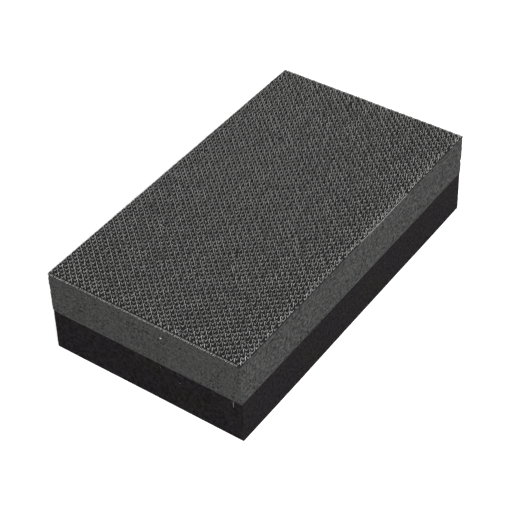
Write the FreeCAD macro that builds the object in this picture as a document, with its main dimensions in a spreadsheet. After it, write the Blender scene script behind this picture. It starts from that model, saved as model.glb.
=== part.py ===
"""Foam hand sanding block for 70 x 125 mm hook-and-loop abrasive sheets.

A firm black foam slab carries a softer grey foam slab, and woven hook tape covers the grey one.
The tape is a ground cloth with a resin coat under it. Nylon monofilaments run along the block
through that cloth, and each stands out of it as one row of hooks, every loop cut open on one side.
The hooks are drawn with a square section as wide as the wire.

Millimetres. +X runs along the block, +Z up. The origin is the middle of the underside.
"""

import FreeCAD, Part
import math
import os
import Sketcher
from FreeCAD import Vector

doc = FreeCAD.newDocument("sanding_block")


# ---- driving dimensions ------------------------------------------------------------------------

DIMENSIONS = {
    "block_length": 125.0,
    "block_width": 70.0,
    "firm_foam_height": 15.2,
    "bond_film_height": 0.2,
    "soft_foam_height": 14.3,
    "facing_adhesive_height": 0.15,
    "tape_coating_height": 0.1,
    "tape_ground_height": 0.4,
    "hook_height": 1.5,
    "hook_wire_diameter": 0.15,
    "hook_bend_radius": 0.29,
    "hook_bend_degrees": 150.0,
    "hook_pitch": 2.174,
    "hook_row_pitch": 1.274,
    "hooks_per_row": 57,
    "hook_rows": 54,
}

sheet = doc.addObject("Spreadsheet::Sheet", "dimensions")
for line, (alias, value) in enumerate(DIMENSIONS.items(), start=1):
    sheet.set(f"A{line}", alias)
    sheet.set(f"B{line}", str(value))
    sheet.setAlias(f"B{line}", alias)
doc.recompute()


def size(alias):
    """A dimension's value as the sheet holds it."""
    return float(sheet.get(alias))


# ---- the flat layers ---------------------------------------------------------------------------


# How a sketch constraint names a point of a line or arc, and the sketch's own axes.
START, END, CENTRE = 1, 2, 3
X_AXIS, Y_AXIS = -1, -2


def origin_feature(body, role):
    """The body's own origin plane or axis with this role."""
    return next(feature for feature in body.Origin.OriginFeatures if feature.Role == role)


def constrain(sketch, kind, *where, to=None):
    """Adds one constraint, tied to an expression where to is given."""
    place = sketch.addConstraint(Sketcher.Constraint(kind, *where))
    if to:
        sketch.setExpression(f"Constraints[{place}]", to)


def rectangle(body, name):
    """A sketch of the block's outline, centred on the body's origin."""
    sketch = body.newObject("Sketcher::SketchObject", name)
    sketch.AttachmentSupport = [(origin_feature(body, "XY_Plane"), "")]
    sketch.MapMode = "FlatFace"
    half_length = size("block_length") / 2
    half_width = size("block_width") / 2
    corners = [
        Vector(-half_length, -half_width, 0),
        Vector(half_length, -half_width, 0),
        Vector(half_length, half_width, 0),
        Vector(-half_length, half_width, 0),
    ]
    for start, end in zip(corners, corners[1:] + corners[:1]):
        sketch.addGeometry(Part.LineSegment(start, end), False)
    for side in range(4):
        constrain(sketch, "Coincident", side, END, (side + 1) % 4, START)
    for side, direction in enumerate(("Horizontal", "Vertical", "Horizontal", "Vertical")):
        constrain(sketch, direction, side)
    constrain(sketch, "Symmetric", 0, START, 1, END, X_AXIS, START)
    length = "dimensions.block_length"
    constrain(sketch, "DistanceX", 0, START, 0, END, 2 * half_length, to=length)
    constrain(sketch, "DistanceY", 1, START, 1, END, 2 * half_width, to="dimensions.block_width")
    return sketch


def layer(label, below):
    """One flat layer over the whole outline, standing on the layers named in below."""
    body = doc.addObject("PartDesign::Body", label)
    body.Label = label
    pad = body.newObject("PartDesign::Pad", f"{label}_pad")
    pad.Profile = rectangle(body, f"{label}_outline")
    pad.setExpression("Length", f"dimensions.{label}_height")
    heights = [f"dimensions.{name}_height" for name in below]
    if heights:
        body.setExpression("Placement.Base.z", " + ".join(heights))
    return body


LAYERS = [
    "firm_foam",
    "bond_film",
    "soft_foam",
    "facing_adhesive",
    "tape_coating",
    "tape_ground",
]
parts = [layer(label, LAYERS[:place]) for place, label in enumerate(LAYERS)]


# ---- the hook rows -----------------------------------------------------------------------------


def hook_outline(body, name):
    """The side view of one cut hook: an upright leg, bent over towards +X and cut square.

    The bend's centre is above the body's origin, and the foot stands on it.
    """
    half_wire = size("hook_wire_diameter") / 2
    inner = size("hook_bend_radius") - half_wire
    outer = size("hook_bend_radius") + half_wire
    leg = size("hook_height") - outer
    cut = math.pi - math.radians(size("hook_bend_degrees"))
    centre = Vector(0, leg, 0)

    def at_cut(radius):
        return centre + Vector(radius * math.cos(cut), radius * math.sin(cut), 0)

    def bend(radius):
        return Part.ArcOfCircle(Part.Circle(centre, Vector(0, 0, 1), radius), cut, math.pi)

    sketch = body.newObject("Sketcher::SketchObject", name)
    sketch.AttachmentSupport = [(origin_feature(body, "XZ_Plane"), "")]
    sketch.MapMode = "FlatFace"
    back, over, end, under, front, foot = range(6)
    sketch.addGeometry(Part.LineSegment(Vector(-outer, 0, 0), Vector(-outer, leg, 0)), False)
    sketch.addGeometry(bend(outer), False)
    sketch.addGeometry(Part.LineSegment(at_cut(outer), at_cut(inner)), False)
    sketch.addGeometry(bend(inner), False)
    sketch.addGeometry(Part.LineSegment(Vector(-inner, leg, 0), Vector(-inner, 0, 0)), False)
    sketch.addGeometry(Part.LineSegment(Vector(-inner, 0, 0), Vector(-outer, 0, 0)), False)

    constrain(sketch, "Tangent", back, END, over, END)
    constrain(sketch, "Coincident", over, START, end, START)
    constrain(sketch, "Coincident", end, END, under, START)
    constrain(sketch, "Tangent", under, END, front, START)
    constrain(sketch, "Coincident", front, END, foot, START)
    constrain(sketch, "Coincident", foot, END, back, START)
    constrain(sketch, "Coincident", over, CENTRE, under, CENTRE)
    constrain(sketch, "PointOnObject", over, CENTRE, Y_AXIS)
    constrain(sketch, "PointOnObject", over, CENTRE, end)
    constrain(sketch, "PointOnObject", back, START, X_AXIS)
    constrain(sketch, "PointOnObject", front, END, X_AXIS)
    constrain(sketch, "Vertical", back)
    half = "dimensions.hook_wire_diameter / 2"
    constrain(sketch, "Radius", over, outer, to=f"dimensions.hook_bend_radius + {half}")
    constrain(sketch, "Radius", under, inner, to=f"dimensions.hook_bend_radius - {half}")
    height = f"dimensions.hook_height - dimensions.hook_bend_radius - {half}"
    constrain(sketch, "DistanceY", back, START, back, END, leg, to=height)
    tip = "(180 - dimensions.hook_bend_degrees) * 1 deg"
    constrain(sketch, "Angle", X_AXIS, START, end, END, cut, to=tip)
    return sketch


def hook_row(number):
    """One monofilament's hooks: separate solids, as many as fit along the block.

    Odd and even rows are shifted half a pitch from each other, a quarter each way.
    """
    label = f"hook_row_{number:02d}"
    body = doc.addObject("PartDesign::Body", label)
    body.Label = label
    body.AllowCompound = True
    pad = body.newObject("PartDesign::Pad", f"{label}_hook")
    pad.Profile = hook_outline(body, f"{label}_side")
    pad.Midplane = True
    pad.setExpression("Length", "dimensions.hook_wire_diameter")
    row = body.newObject("PartDesign::LinearPattern", f"{label}_pattern")
    row.Originals = [pad]
    row.Direction = (origin_feature(body, "X_Axis"), [""])
    row.setExpression("Length", "dimensions.hook_pitch * (dimensions.hooks_per_row - 1)")
    row.setExpression("Occurrences", "dimensions.hooks_per_row")
    body.Tip = row
    shift = "1 / 4" if number % 2 else "-1 / 4"
    first = f"dimensions.hook_pitch * ({shift} - (dimensions.hooks_per_row - 1) / 2)"
    body.setExpression("Placement.Base.x", first)
    across = f"dimensions.hook_row_pitch * ({number} - (dimensions.hook_rows + 1) / 2)"
    body.setExpression("Placement.Base.y", across)
    body.setExpression("Placement.Base.z", " + ".join(f"dimensions.{name}_height" for name in LAYERS))
    return body


parts += [hook_row(number) for number in range(1, int(size("hook_rows")) + 1)]


# ---- checks and output -------------------------------------------------------------------------

doc.recompute()
for item in doc.Objects:
    if "Invalid" in item.State or "Error" in item.State:
        raise RuntimeError(f"{item.Label} failed: {item.State}")
for part in parts:
    if part.Shape.isNull() or not part.Shape.isValid():
        raise RuntimeError(f"{part.Label} has no valid shape")

os.makedirs("parts", exist_ok=True)
for part in parts:
    part.Shape.exportStep(f"parts/{part.Label}.step")

box = parts[0].Shape.BoundBox
for part in parts:
    box.add(part.Shape.BoundBox)
print(f"{len(parts)} parts, {box.XLength:.2f} x {box.YLength:.2f} x {box.ZLength:.2f} mm")
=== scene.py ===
"""Looks of the foam sanding block: two foam slabs, their glue lines, and woven hook tape on top.

Metres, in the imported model's frame: +X along the block, +Z up. The origin is in the middle of the
underside.
"""

import bpy
import math
import numpy as np
from mathutils import Matrix, Vector, noise


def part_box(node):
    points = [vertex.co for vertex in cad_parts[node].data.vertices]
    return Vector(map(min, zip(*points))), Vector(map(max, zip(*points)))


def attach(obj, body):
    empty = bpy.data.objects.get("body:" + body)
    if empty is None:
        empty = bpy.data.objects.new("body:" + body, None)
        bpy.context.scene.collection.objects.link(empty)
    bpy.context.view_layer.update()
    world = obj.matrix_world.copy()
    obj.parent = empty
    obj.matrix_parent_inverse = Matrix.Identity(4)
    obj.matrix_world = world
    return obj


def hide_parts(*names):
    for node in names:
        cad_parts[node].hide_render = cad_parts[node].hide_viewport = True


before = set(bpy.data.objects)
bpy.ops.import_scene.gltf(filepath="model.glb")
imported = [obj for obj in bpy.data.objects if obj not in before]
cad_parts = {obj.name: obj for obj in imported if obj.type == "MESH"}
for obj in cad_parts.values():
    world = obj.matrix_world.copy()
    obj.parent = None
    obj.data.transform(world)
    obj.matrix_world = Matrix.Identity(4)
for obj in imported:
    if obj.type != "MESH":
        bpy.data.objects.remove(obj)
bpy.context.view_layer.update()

MM = 0.001
BODY = "root"

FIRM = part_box("firm_foam")
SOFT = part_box("soft_foam")
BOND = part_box("bond_film")
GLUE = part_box("facing_adhesive")
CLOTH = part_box("tape_ground")
HOOK_ROWS = sorted(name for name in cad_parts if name.startswith("hook_row_"))
LENGTH = SOFT[1].x - SOFT[0].x
WIDTH = SOFT[1].y - SOFT[0].y

# The hook field, read from its first two rows. Every second row is shifted by half a step.
FIRST_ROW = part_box(HOOK_ROWS[0])
SECOND_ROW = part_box(HOOK_ROWS[1])
ROW_STEP = (SECOND_ROW[0].y + SECOND_ROW[1].y - FIRST_ROW[0].y - FIRST_ROW[1].y) / 2
HOOK_STEP = 2 * (FIRST_ROW[0].x - SECOND_ROW[0].x)
HOOKS_IN_ROW = 1 + math.floor((FIRST_ROW[1].x - FIRST_ROW[0].x) / HOOK_STEP)
HOOK_HEIGHT = FIRST_ROW[1].z - FIRST_ROW[0].z
WIRE = FIRST_ROW[1].y - FIRST_ROW[0].y


# ---- helpers -----------------------------------------------------------------------------------


def new_object(name, vertices, faces, material, smooth=True):
    """A mesh object from plain lists, in place in the row frame."""
    mesh = bpy.data.meshes.new(name)
    mesh.from_pydata(np.asarray(vertices, float).tolist(), [], faces)
    mesh.materials.append(material)
    mesh.polygons.foreach_set("use_smooth", [smooth] * len(mesh.polygons))
    mesh.update()
    piece = bpy.data.objects.new(name, mesh)
    bpy.context.scene.collection.objects.link(piece)
    return piece


def settle(piece, slot, *nodes):
    """The piece rides on the one body and stands for these CAD nodes, which it hides. The slot is
    not used.
    """
    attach(piece, BODY)
    if nodes:
        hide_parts(*nodes)
    return piece


def tube(points, radius, sides):
    """Vertices and faces of a closed round tube along the points."""
    points = np.asarray(points, float)
    along = np.gradient(points, axis=0)
    along /= np.linalg.norm(along, axis=1)[:, None]
    across = np.cross(along[0], (0.0, 1.0, 0.0))
    if np.linalg.norm(across) < 0.3:
        across = np.cross(along[0], (1.0, 0.0, 0.0))
    turns = np.arange(sides) * 2 * math.pi / sides
    rings = []
    for point, direction in zip(points, along):
        across = across - direction * np.dot(across, direction)
        across /= np.linalg.norm(across)
        other = np.cross(direction, across)
        ring = np.cos(turns)[:, None] * across + np.sin(turns)[:, None] * other
        rings.append(point + radius * ring)
    faces = []
    for ring in range(len(points) - 1):
        for side in range(sides):
            a = ring * sides + side
            b = ring * sides + (side + 1) % sides
            faces.append((a, b, b + sides, a + sides))
    last = (len(points) - 1) * sides
    faces.append(tuple(reversed(range(sides))))
    faces.append(tuple(last + side for side in range(sides)))
    return np.concatenate(rings), faces


def ripple(x, y, z, size, seed):
    """Smooth noise from -1 to 1 with features of about this size in metres."""
    return noise.noise(Vector((x / size + seed, y / size - seed, z / size + 2 * seed)))


# ---- materials ---------------------------------------------------------------------------------


class Nodes:
    """A new material's node tree, with short calls for the nodes used here."""

    def __init__(self, name):
        self.material = bpy.data.materials.new(name)
        self.material.use_nodes = True
        self.tree = self.material.node_tree
        self.shader = self.tree.nodes["Principled BSDF"]
        self.place = self.add("ShaderNodeTexCoord").outputs["Object"]

    def add(self, kind, **settings):
        node = self.tree.nodes.new(kind)
        for key, value in settings.items():
            setattr(node, key, value)
        return node

    def join(self, source, target):
        self.tree.links.new(source, target)

    def noise(self, size, detail=2.0, rough=0.5):
        """Noise whose features are about this size in metres."""
        texture = self.add("ShaderNodeTexNoise")
        texture.inputs["Scale"].default_value = 1 / size
        texture.inputs["Detail"].default_value = detail
        texture.inputs["Roughness"].default_value = rough
        self.join(self.place, texture.inputs["Vector"])
        return texture.outputs["Fac"]

    def cells(self, size):
        """Distance from the nearest of scattered points, this far apart in metres."""
        texture = self.add("ShaderNodeTexVoronoi", feature="F1")
        texture.inputs["Scale"].default_value = 1 / size
        texture.inputs["Randomness"].default_value = 1.0
        self.join(self.place, texture.inputs["Vector"])
        return texture.outputs["Distance"]

    def scaled(self, value, low, high, to_low=0, to_high=1):
        """The value moved from one range to another and held inside it."""
        node = self.add("ShaderNodeMapRange", clamp=True)
        node.inputs["From Min"].default_value = low
        node.inputs["From Max"].default_value = high
        node.inputs["To Min"].default_value = to_low
        node.inputs["To Max"].default_value = to_high
        self.join(value, node.inputs["Value"])
        return node.outputs["Result"]

    def maths(self, operation, a, b=0):
        """A sum, difference, product or size of two values, each a socket or a number."""
        node = self.add("ShaderNodeMath", operation=operation)
        for socket, value in zip(node.inputs, (a, b)):
            if isinstance(value, (int, float)):
                socket.default_value = value
            else:
                self.join(value, socket)
        return node.outputs["Value"]

    def mix(self, share, a, b):
        """Colour a, turning into colour b as share goes from 0 to 1."""
        node = self.add("ShaderNodeMix", data_type="RGBA")
        self.join(share, node.inputs["Factor"])
        for socket, value in ((node.inputs[6], a), (node.inputs[7], b)):
            if isinstance(value, tuple):
                socket.default_value = (*value, 1)
            else:
                self.join(value, socket)
        return node.outputs[2]

    def surface(self, colour, rough, specular=0.5):
        """The colour from a socket, with one roughness and one strength of reflection all over."""
        self.join(colour, self.shader.inputs["Base Color"])
        self.shader.inputs["Roughness"].default_value = rough
        self.shader.inputs["Specular IOR Level"].default_value = specular

    def bump(self, value, depth):
        """Relief this deep in metres where value goes from 0 to 1."""
        node = self.add("ShaderNodeBump")
        node.inputs["Distance"].default_value = depth
        self.join(value, node.inputs["Height"])
        self.join(node.outputs["Normal"], self.shader.inputs["Normal"])


def grey(level):
    """A neutral colour."""
    return (level, level, level)


def soft_foam_material():
    """Dark grey open-pored foam. The long sides were cut across the cells and look coarser."""
    nodes = Nodes("soft_foam_cut")
    across = nodes.add("ShaderNodeSeparateXYZ")
    nodes.join(nodes.add("ShaderNodeTexCoord").outputs["Normal"], across.inputs["Vector"])
    coarse = nodes.scaled(nodes.maths("ABSOLUTE", across.outputs["Y"]), 0.6, 0.8)
    broad = nodes.scaled(nodes.noise(8 * MM, 3.0), 0.3, 0.7)
    fine = nodes.noise(0.8 * MM, 4.0, 0.75)
    lumps = nodes.noise(1.1 * MM, 5.0, 0.85)
    base = nodes.mix(broad, grey(0.020), (0.029, 0.029, 0.028))
    ends = nodes.mix(nodes.scaled(fine, 0.38, 0.68), base, (0.0615, 0.0615, 0.0605))
    sides = nodes.mix(nodes.scaled(lumps, 0.38, 0.64), grey(0.006), (0.072, 0.072, 0.071))
    # The pores are painted near-black: painted shade inside the open cells.
    pore = nodes.scaled(nodes.cells(1.0 * MM), 0.18, 0.38, 1, 0)
    deep = nodes.scaled(nodes.noise(2.2 * MM, 1.0), 0.42, 0.60)
    hole = nodes.maths("MULTIPLY", pore, deep)
    colour = nodes.mix(hole, nodes.mix(coarse, ends, sides), grey(0.006))
    nodes.surface(colour, rough=0.95, specular=0.08)
    nodes.bump(nodes.maths("SUBTRACT", nodes.maths("ADD", fine, lumps), hole), 0.16 * MM)
    return nodes.material


def firm_foam_material():
    """Near-black closed-cell foam with a faint warm and cool drift and a little pale dust."""
    nodes = Nodes("firm_foam_cut")
    cool, warm = (0.0010, 0.0010, 0.0024), (0.0030, 0.0016, 0.0012)
    base = nodes.mix(nodes.scaled(nodes.noise(12 * MM, 2.0), 0.4, 0.6), cool, warm)
    fine = nodes.noise(1.0 * MM, 4.0, 0.75)
    mottled = nodes.mix(nodes.scaled(fine, 0.36, 0.68), base, (0.0168, 0.0146, 0.0157))
    dust = nodes.scaled(nodes.cells(3.1 * MM), 0.035, 0.060, 1, 0)
    some = nodes.scaled(nodes.noise(9 * MM, 0.0), 0.48, 0.60, 0, 0.35)
    colour = nodes.mix(nodes.maths("MULTIPLY", dust, some), mottled, (0.20, 0.19, 0.17))
    nodes.surface(colour, rough=0.85, specular=0.03)
    nodes.bump(fine, 0.12 * MM)
    return nodes.material


def mottled_material(name, size, detail, dark, pale, rough, specular, relief=0):
    """A dull material that wanders between two colours, with relief where it has any."""
    nodes = Nodes(name)
    fine = nodes.noise(size, detail)
    nodes.surface(nodes.mix(nodes.scaled(fine, 0.3, 0.7), dark, pale), rough, specular)
    if relief:
        nodes.bump(fine, relief)
    return nodes.material


def nylon_material():
    """Charcoal monofilament, a little different from hook to hook, shiny on its bends."""
    nodes = Nodes("hook_nylon")
    shade = nodes.add("ShaderNodeAttribute", attribute_name="shade").outputs["Fac"]
    # The shade attribute holds painted shade low on the hooks, and random tone partly spread into
    # painted glints.
    colour = nodes.mix(shade, (0.06, 0.06, 0.059), (0.545, 0.545, 0.535))
    nodes.surface(colour, rough=0.32, specular=0.6)
    return nodes.material


SOFT_LOOK = soft_foam_material()
FIRM_LOOK = firm_foam_material()
BOND_LOOK = mottled_material(
    "bond_film", 0.8 * MM, 3.0, grey(0.012), (0.036, 0.036, 0.035), rough=0.6, specular=0.2
)
FACING_LOOK = mottled_material(
    "facing_film", 0.8 * MM, 3.0, grey(0.012), grey(0.040), rough=0.6, specular=0.2
)
CLOTH_LOOK = mottled_material(
    "tape_cloth", 0.25 * MM, 3.0, grey(0.010), grey(0.034), rough=0.85, specular=0.08,
    relief=0.06 * MM,
)
RESIN_LOOK = mottled_material(
    "tape_resin", 0.7 * MM, 2.0, grey(0.006), grey(0.018), rough=0.6, specular=0.15
)
NYLON = nylon_material()


# ---- foam slabs --------------------------------------------------------------------------------

CAP_CELL = 1.0 * MM       # grid of the flat faces
SIDE_CELLS = 3            # side vertices for each cell of the flat faces
FOAM_RINGS = 42           # steps up the side of a foam slab
FILM_RINGS = 2            # steps up the side of a glue film
CORNER_INSET = 0.02       # millimetres that every upright edge is blunted by
SHARP_ANGLE = math.radians(50)


def outline(across, deep):
    """The places on the rim of a grid, once round, anticlockwise from its first corner."""
    rim = [(i, 0) for i in range(across)] + [(across, j) for j in range(deep)]
    return rim + [(i, deep) for i in range(across, 0, -1)] + [(0, j) for j in range(deep, 0, -1)]


def slab(name, low, high, material, out, rings, chip=0.03):
    """A closed slab whose four cut sides carry relief.

    out(x, y, z, up) gives how far a side point stands out, up going from 0 at the base to 1.
    chip is how rough the upright edges are, in millimetres.
    The flat faces are a coarser grid, and their edge cells take in the sides' extra vertices.
    """
    fx = round((high.x - low.x) / CAP_CELL) * SIDE_CELLS
    fy = round((high.y - low.y) / CAP_CELL) * SIDE_CELLS
    loop = outline(fx, fy)
    count = len(loop)
    vertices, faces = [], []

    def spot(i, j):
        return low.x + (high.x - low.x) * i / fx, low.y + (high.y - low.y) * j / fy

    for ring in range(rings + 1):
        up = ring / rings
        z = low.z + (high.z - low.z) * up
        for i, j in loop:
            x, y = spot(i, j)
            x_out = (i == fx) - (i == 0)
            y_out = (j == fy) - (j == 0)
            inset = 0
            if x_out and y_out:
                inset = (CORNER_INSET + chip * (1 + ripple(x, y, z, 1.1 * MM, 3.7))) * MM
            distance = out(x, y, z, up) - inset
            vertices.append((x + x_out * distance, y + y_out * distance, z))
    for ring in range(rings):
        for k in range(count):
            a = ring * count + k
            b = ring * count + (k + 1) % count
            faces.append((a, b, b + count, a + count))

    step = SIDE_CELLS
    where = {place: k for k, place in enumerate(loop)}
    for base, z, flip in ((0, low.z, True), (rings * count, high.z, False)):
        inner = {}

        def vertex(place):
            if place in where:
                return base + where[place]
            if place not in inner:
                inner[place] = len(vertices)
                vertices.append((*spot(*place), z))
            return inner[place]

        for i in range(0, fx, step):
            for j in range(0, fy, step):
                # The cell's four sides in turn. One on the rim has all its vertices.
                near = [(i + k, j) for k in range(step)]
                right = [(i + step, j + k) for k in range(step)]
                far = [(i + step - k, j + step) for k in range(step)]
                left = [(i, j + step - k) for k in range(step)]
                on_rim = (j == 0, i + step == fx, j + step == fy, i == 0)
                cell = []
                for side, full in zip((near, right, far, left), on_rim):
                    cell += side if full else side[:1]
                face = [vertex(place) for place in cell]
                faces.append(tuple(reversed(face)) if flip else tuple(face))
    piece = new_object(name, vertices, faces, material)
    piece.data.set_sharp_from_angle(angle=SHARP_ANGLE)
    return piece


def soft_out(x, y, z, up):
    """The grey slab's sides: a wavering cut, open pores, and a soft lower edge at the seam."""
    wave = 0.16 * ripple(x, y, z, 26 * MM, 3.1) + 0.06 * ripple(x, y, z, 7 * MM, 8.7)
    grain = 0.045 * ripple(x, y, z, 1.1 * MM, 1.3) + 0.035 * ripple(x, y, z, 0.55 * MM, 5.2)
    pit = max(0.0, ripple(x, y, z, 1.5 * MM, 12.4) - 0.28) * 0.45
    lean = 0.10 * (1 - up)
    tuck = 0.14 * max(0.0, 1 - up / 0.04) ** 2 + 0.04 * max(0.0, (up - 0.97) / 0.03)
    return (wave + grain + lean - pit - tuck) * MM


def firm_out(x, y, z, up):
    """The black slab's sides: a cleaner cut, a hair wider at the base."""
    wave = 0.10 * ripple(x, y, z, 30 * MM, 6.4) + 0.03 * ripple(x, y, z, 8 * MM, 2.2)
    grain = 0.016 * ripple(x, y, z, 0.9 * MM, 4.4) + 0.012 * ripple(x, y, z, 0.45 * MM, 9.9)
    lean = 0.16 * (1 - up)
    tuck = 0.02 * max(0.0, 1 - up / 0.03) + 0.03 * max(0.0, (up - 0.97) / 0.03)
    return (wave + grain + lean - tuck) * MM


def film_out(x, y, z, up):
    """A glue line: mostly held back in the seam, here and there squeezed out a hair."""
    return (0.02 + 0.10 * ripple(x, y, 0, 3 * MM, 7.7) + 0.05 * ripple(x, y, 0, 0.8 * MM, 2.9)) * MM


soft = slab("soft_foam_slab", *SOFT, SOFT_LOOK, soft_out, FOAM_RINGS, chip=0.05)
settle(soft, "soft_foam", "soft_foam")

firm = slab("firm_foam_slab", *FIRM, FIRM_LOOK, firm_out, FOAM_RINGS)
settle(firm, "firm_foam", "firm_foam")

bond = slab("bond_line", *BOND, BOND_LOOK, film_out, FILM_RINGS)
settle(bond, "adhesive_film", "bond_film")
facing = slab("facing_glue_line", *GLUE, FACING_LOOK, film_out, FILM_RINGS)
settle(facing, "adhesive_film", "facing_adhesive")


# ---- the tape's ground cloth -------------------------------------------------------------------

WEFT_STEP = HOOK_STEP / 6
WARP_STEP = ROW_STEP / 4
THREAD_RISE = 0.10 * MM


def ground_cloth():
    """The woven ground: at every crossing either the warp or the weft is on top, in turn."""
    low, high = CLOTH
    nx = round((high.x - low.x) / WEFT_STEP)
    ny = round((high.y - low.y) / WARP_STEP)
    dx, dy = (high.x - low.x) / nx, (high.y - low.y) / ny
    vertices, faces = [], []
    for i in range(nx + 1):
        for j in range(ny + 1):
            rise = THREAD_RISE if (i + j) % 2 else -THREAD_RISE
            sag = 0.05 * MM * ripple(i * dx, j * dy, 0, 11 * MM, 4.9)
            fray = 0.10 * MM * ripple(i * dx, j * dy, 0, 0.7 * MM, 1.9)
            x = low.x + i * dx + fray * ((i == nx) - (i == 0))
            y = low.y + j * dy + fray * ((j == ny) - (j == 0))
            vertices.append((x, y, high.z - THREAD_RISE + rise + sag))
    top = len(vertices)
    across = ny + 1
    for i in range(nx):
        for j in range(ny):
            a = i * across + j
            faces.append((a, a + across, a + across + 1, a + 1))
    rim = outline(nx, ny)
    for i, j in rim:
        x, y, _ = vertices[i * across + j]
        vertices.append((x, y, low.z))
    for k, (i, j) in enumerate(rim):
        i2, j2 = rim[(k + 1) % len(rim)]
        faces.append((top + k, top + (k + 1) % len(rim), i2 * across + j2, i * across + j))
    faces.append(tuple(top + k for k in reversed(range(len(rim)))))
    return new_object("ground_cloth", vertices, faces, CLOTH_LOOK)


cloth = settle(ground_cloth(), "tape_cloth", "tape_ground")

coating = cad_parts["tape_coating"].data
coating.materials.clear()
coating.materials.append(RESIN_LOOK)


# ---- hooks -------------------------------------------------------------------------------------

BEND_RADIUS = 0.27 * MM
BEND_TURN = math.radians(123)
LOOP_SPAN = 0.99 * MM            # from a hook's leg to its stub
WIRE_RADIUS = 0.07 * MM
STUB_HEIGHT = 0.75 * MM
FOOT_LIFT = 0.02 * MM            # the foot's middle over the top of the cloth
FOOT_LIGHT = 0.8
EDGE_GAP = 0.32 * MM             # from a long edge to the part row beside it
YARN_RADIUS = 0.06 * MM
ROWS_IN_PIECE = 6
ROW_PLACES = [(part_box(name)[0].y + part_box(name)[1].y) / 2 for name in HOOK_ROWS]


def hook_parts():
    """One loop of monofilament as the shears leave it: the hook, its stub, and the foot between.

    Each comes as points, faces and how light every point is. Hook and stub are painted darker where
    they leave the cloth: painted shade, for the shadow low among the hooks.
    """
    leg_top = HOOK_HEIGHT - WIRE_RADIUS - BEND_RADIUS
    leg = [(-BEND_RADIUS, 0, leg_top * k / 3) for k in range(4)]
    turns = [BEND_TURN * k / 9 for k in range(1, 10)]
    bend = [(-BEND_RADIUS * math.cos(t), 0, leg_top + BEND_RADIUS * math.sin(t)) for t in turns]
    far = LOOP_SPAN - BEND_RADIUS
    leans = (0, 0, 0.02 * MM, 0.05 * MM)
    stub = [(far - lean, 0, STUB_HEIGHT * k / 3) for k, lean in enumerate(leans)]
    span = HOOK_STEP - LOOP_SPAN
    foot = [(far + span * k / 6, 0, FOOT_LIFT) for k in range(7)]
    parts = []
    for path in (leg + bend, stub, foot):
        points, faces = tube(path, WIRE_RADIUS, 8)
        # Painted shade: the lower part of hook and stub is darkened, as if shadowed among the
        # hooks.
        light = 0.1 + 0.9 * np.clip(points[:, 2] / HOOK_HEIGHT / 0.3, 0, 1)
        if path is foot:
            light = np.full(len(points), FOOT_LIGHT)
        parts.append((points, faces, light))
    return parts


def hook_mesh(name, rows, seed, worn=0.0):
    """Some rows of hooks as one mesh, each hook a little different from the next.

    rows holds each row's y and the middle of its first hook. worn is the share of hooks the
    shears took off on top of the few that are always missing.
    """
    chance = np.random.default_rng(seed)
    parts = hook_parts()
    vertices, faces, shades = [], [], []
    start = 0
    for y, first in rows:
        for k in range(-1, HOOKS_IN_ROW):
            turn = chance.normal(0, math.radians(5))
            tall = 1 + chance.normal(0, 0.03)
            lean = chance.normal(0, 0.04, 2)
            shift = chance.normal(0, 0.025 * MM, 2)
            # Each part's tone differs at random, partly real tone and partly painted highlight: the
            # wide spread makes some parts stand out as painted glints.
            shade = 0.32 + 0.68 * chance.random(3) ** 1.2
            gone = chance.random() < 0.001 + worn
            if chance.random() < 0.004:
                lean = lean + chance.normal(0, 0.4, 2)
                tall *= 0.9
            cos, sin = math.cos(turn), math.sin(turn)
            for part, (points, quads, light) in enumerate(parts):
                if part == 0 and (k < 0 or gone):
                    continue
                x = first + k * HOOK_STEP + shift[0] + points[:, 0] * cos - points[:, 1] * sin
                x = x + lean[0] * points[:, 2]
                if x.min() < SOFT[0].x - 0.05 * MM or x.max() > SOFT[1].x + 0.45 * MM:
                    continue
                across = points[:, 0] * sin + points[:, 1] * cos + lean[1] * points[:, 2]
                z = CLOTH[1].z + points[:, 2] * tall
                vertices.append(np.stack([x, y + shift[1] + across, z], axis=1))
                faces += [tuple(start + v for v in quad) for quad in quads]
                shades.append(shade[part] * light)
                start += len(points)
    return nylon_piece(name, np.concatenate(vertices), faces, np.concatenate(shades))


def nylon_piece(name, vertices, faces, shades):
    """A mesh of monofilament with how light every point is."""
    piece = new_object(name, vertices, faces, NYLON)
    layer = piece.data.attributes.new("shade", "FLOAT", "POINT")
    layer.data.foreach_set("value", shades)
    return piece


# The middle of each row's first hook.
STARTS = [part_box(name)[0].x + WIRE / 2 + BEND_RADIUS for name in HOOK_ROWS]
for first in range(0, len(HOOK_ROWS), ROWS_IN_PIECE):
    last = first + ROWS_IN_PIECE
    names = HOOK_ROWS[first:last]
    rows = list(zip(ROW_PLACES[first:last], STARTS[first:last]))
    piece = hook_mesh(f"hooks_{names[0][-2:]}_{names[-1][-2:]}", rows, seed=100 + first)
    settle(piece, "hook_nylon", *names)

# Where the tape was cut along the block, part of a row is left at each long edge.
near_row = (SOFT[0].y + EDGE_GAP, STARTS[1])
far_row = (SOFT[1].y - EDGE_GAP, STARTS[0])
settle(hook_mesh("hooks_near_cut", [near_row], seed=71, worn=0.25), "hook_nylon")
settle(hook_mesh("hooks_far_cut", [far_row], seed=72, worn=1.0), "hook_nylon")


def strands(name, paths, radii, shades):
    """Loose ends and threads as one mesh."""
    vertices, faces, light = [], [], []
    start = 0
    for path, radius, shade in zip(paths, radii, shades):
        points, quads = tube(path, radius, 6)
        vertices.append(points)
        faces += [tuple(start + v for v in quad) for quad in quads]
        light.append(np.full(len(points), shade))
        start += len(points)
    piece = nylon_piece(name, np.concatenate(vertices), faces, np.concatenate(light))
    return settle(piece, "hook_nylon")


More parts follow.
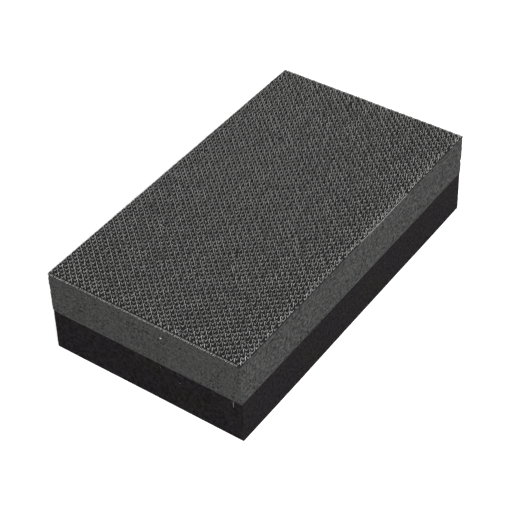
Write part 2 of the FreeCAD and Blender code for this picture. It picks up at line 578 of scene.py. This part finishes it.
def cut_ends(name, edge, outward, seed):
    """Yarn and filament ends that stand a little out of the cloth where the shears went across."""
    chance = np.random.default_rng(seed)
    z = CLOTH[1].z - 0.06 * MM
    paths, radii, shades = [], [], []
    for y in ROW_PLACES:
        for kind in range(3):
            place = y + kind * ROW_STEP / 3 + chance.normal(0, 0.08 * MM)
            reach = chance.uniform(0.02, 0.28) * MM
            lift = chance.uniform(-0.06, 0.12) * MM
            drift = chance.normal(0, 0.12 * MM)
            paths.append([
                (edge - outward * 0.5 * MM, place, z - 0.04 * MM),
                (edge - outward * 0.1 * MM, place, z + 0.03 * MM),
                (edge + outward * reach * 0.6, place + drift * 0.5, z + lift * 0.6),
                (edge + outward * reach, place + drift, z + lift),
            ])
            radii.append(WIRE_RADIUS if kind == 0 else YARN_RADIUS)
            shades.append(chance.uniform(0.5, 1.0))
    return strands(name, paths, radii, shades)


cut_ends("cut_ends_near", SOFT[0].x, -1, seed=81)
cut_ends("cut_ends_far", SOFT[1].x, 1, seed=82)


def edge_thread():
    """A cloth yarn that has come loose along part of the long edge."""
    path = []
    for k in range(45):
        x = 27.0 * k / 44 * MM
        wave = 0.06 * ripple(x, 0, 0, 2.6 * MM, 5.5) + 0.10 * ripple(x, 0, 0, 11 * MM, 6.5)
        rise = 0.12 * ripple(x, 0, 0, 3.4 * MM, 9.5)
        path.append((x, SOFT[0].y - (0.06 + wave) * MM, CLOTH[1].z + (0.02 + rise) * MM))
    return path


def hanging_fibre():
    """A short fibre that hangs from the glue line near a corner."""
    seam = BOND[0].z
    return [
        (SOFT[0].x - 0.05 * MM, SOFT[0].y + 2.7 * MM, seam + 0.2 * MM),
        (SOFT[0].x - 0.24 * MM, SOFT[0].y + 2.9 * MM, seam - 0.6 * MM),
        (SOFT[0].x - 0.20 * MM, SOFT[0].y + 3.0 * MM, seam - 1.5 * MM),
        (SOFT[0].x - 0.28 * MM, SOFT[0].y + 2.8 * MM, seam - 2.3 * MM),
    ]


def dust_flecks():
    """Pale specks on the cut sides, and one bigger fleck high on the near end."""
    chance = np.random.default_rng(91)
    vertices, faces, light = [], [], []
    # Each has its place, whether it sits on the long side, its size and how light it is.
    places = [((SOFT[0].x - 0.05 * MM, -7.0 * MM, 26.4 * MM), 0, 0.27 * MM, 1.0)]
    for k in range(26):
        side = k % 2
        along = chance.uniform(-0.94, 0.94)
        z = chance.uniform(1.0, 28.0) * MM
        if side:
            point = (along * LENGTH / 2, SOFT[0].y - 0.02 * MM, z)
        else:
            point = (SOFT[0].x - 0.02 * MM, along * WIDTH / 2, z)
        places.append((point, side, chance.uniform(0.06, 0.15) * MM, chance.uniform(0.15, 0.5)))
    tips = np.array([(1, 0, 0), (-1, 0, 0), (0, 1, 0), (0, -1, 0), (0, 0, 1), (0, 0, -1)])
    for place, side, size, shade in places:
        start = len(tips) * len(vertices)
        half = size * np.array([1.3, 0.6, 0.8] if side else [0.6, 1.3, 0.8])
        uneven = chance.uniform(0.7, 1.3, (len(tips), 1))
        vertices.append(tips * half * uneven + place)
        for b, c in ((2, 4), (4, 3), (3, 5), (5, 2)):
            faces += [(start, start + b, start + c), (start + 1, start + c, start + b)]
        light.append(np.full(len(tips), shade))
    piece = nylon_piece("dust_flecks", np.concatenate(vertices), faces, np.concatenate(light))
    return settle(piece, "hook_nylon")


dust_flecks()
loose = [edge_thread(), hanging_fibre()]
strands("loose_threads", loose, radii=[0.055 * MM, 0.045 * MM], shades=[0.75, 0.30])


# ---- camera, floor and light -------------------------------------------------------------------


def camera():
    """Looks down on the block from its near left corner."""
    place = Vector((-0.2839, -0.2052, 0.3210))
    ahead = Vector((0.5997, 0.4426, -0.6666)).normalized()
    roll = math.radians(2.11)
    level = ahead.cross(Vector((0, 0, 1))).normalized()
    upright = level.cross(ahead)
    right = level * math.cos(roll) - upright * math.sin(roll)
    up = upright * math.cos(roll) + level * math.sin(roll)
    lens = bpy.data.cameras.new("camera")
    lens.sensor_width = 36
    lens.lens = 103.03
    lens.clip_start = 0.01
    eye = bpy.data.objects.new("camera", lens)
    eye.matrix_world = Matrix((
        (right.x, up.x, -ahead.x, place.x),
        (right.y, up.y, -ahead.y, place.y),
        (right.z, up.z, -ahead.z, place.z),
        (0, 0, 0, 1),
    ))
    bpy.context.scene.collection.objects.link(eye)
    bpy.context.scene.camera = eye


def softbox(name, place, size, power):
    """A square studio light that faces the block."""
    light = bpy.data.lights.new(name, "AREA")
    light.size = size
    light.energy = power
    lamp = bpy.data.objects.new(name, light)
    lamp.location = place
    lamp.rotation_mode = "QUATERNION"
    lamp.rotation_quaternion = Vector(place).to_track_quat("Z", "Y")
    bpy.context.scene.collection.objects.link(lamp)


def floor():
    """A wide pale floor that the block stands on. It glows a little, so that no shadow shows."""
    nodes = Nodes("pale_floor")
    nodes.surface(nodes.mix(nodes.noise(0.4, 1.0), grey(0.86), grey(0.88)), rough=0.9)
    nodes.shader.inputs["Emission Color"].default_value = (1, 1, 1, 1)
    nodes.shader.inputs["Emission Strength"].default_value = 0.60
    half = 2.0
    corners = [(-half, -half, 0), (half, -half, 0), (half, half, 0), (-half, half, 0)]
    new_object("floor", corners, [(0, 1, 2, 3)], nodes.material, smooth=False)


def surroundings():
    """Even white light from all round."""
    world = bpy.data.worlds.new("studio")
    world.use_nodes = True
    background = world.node_tree.nodes["Background"]
    background.inputs["Color"].default_value = (1, 1, 1, 1)
    background.inputs["Strength"].default_value = 0.62
    bpy.context.scene.world = world
    bpy.context.scene.view_settings.view_transform = "Standard"


camera()
floor()
surroundings()
softbox("key", (-0.42, -0.70, 0.50), size=0.35, power=8.0)
softbox("side", (0.28, -0.25, 0.10), size=0.2, power=0.28)
